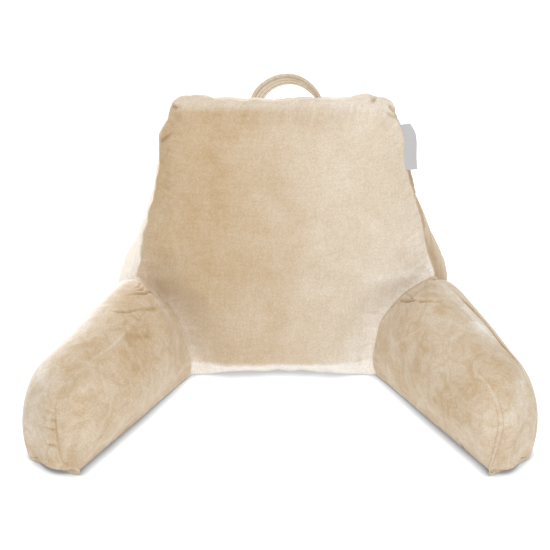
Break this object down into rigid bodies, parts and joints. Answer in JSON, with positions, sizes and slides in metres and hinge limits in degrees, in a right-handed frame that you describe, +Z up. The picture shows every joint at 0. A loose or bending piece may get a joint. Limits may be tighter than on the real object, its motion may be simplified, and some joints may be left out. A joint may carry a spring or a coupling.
{
  "type": "reading pillow with arms",
  "caption": "Plush reading pillow: a reclined, filled back cushion with two splayed filled arms, a carry loop on top and a small blank side tag.",
  "frame": {"origin": "centre of the footprint of the whole pillow, on the floor", "axes": "+Z up, +X to the right as seen from the front, -Y the way the sitter faces"},
  "size_m": [0.8054, 0.5337, 0.4426],
  "materials": {
    "back_plush": "short-pile plush velour, matte with a soft sheen",
    "arm_left_plush": "short-pile plush velour, matte with a soft sheen",
    "arm_right_plush": "short-pile plush velour, matte with a soft sheen",
    "handle_plush": "short-pile plush velour, matte with a soft sheen",
    "label_satin": "woven satin ribbon, blank"
  },
  "bodies": {
    "root": {"back_cushion": "back_plush", "arm_left": "arm_left_plush", "arm_right": "arm_right_plush", "carry_handle": "handle_plush", "side_label": "label_satin"}
  },
  "joints": []
}
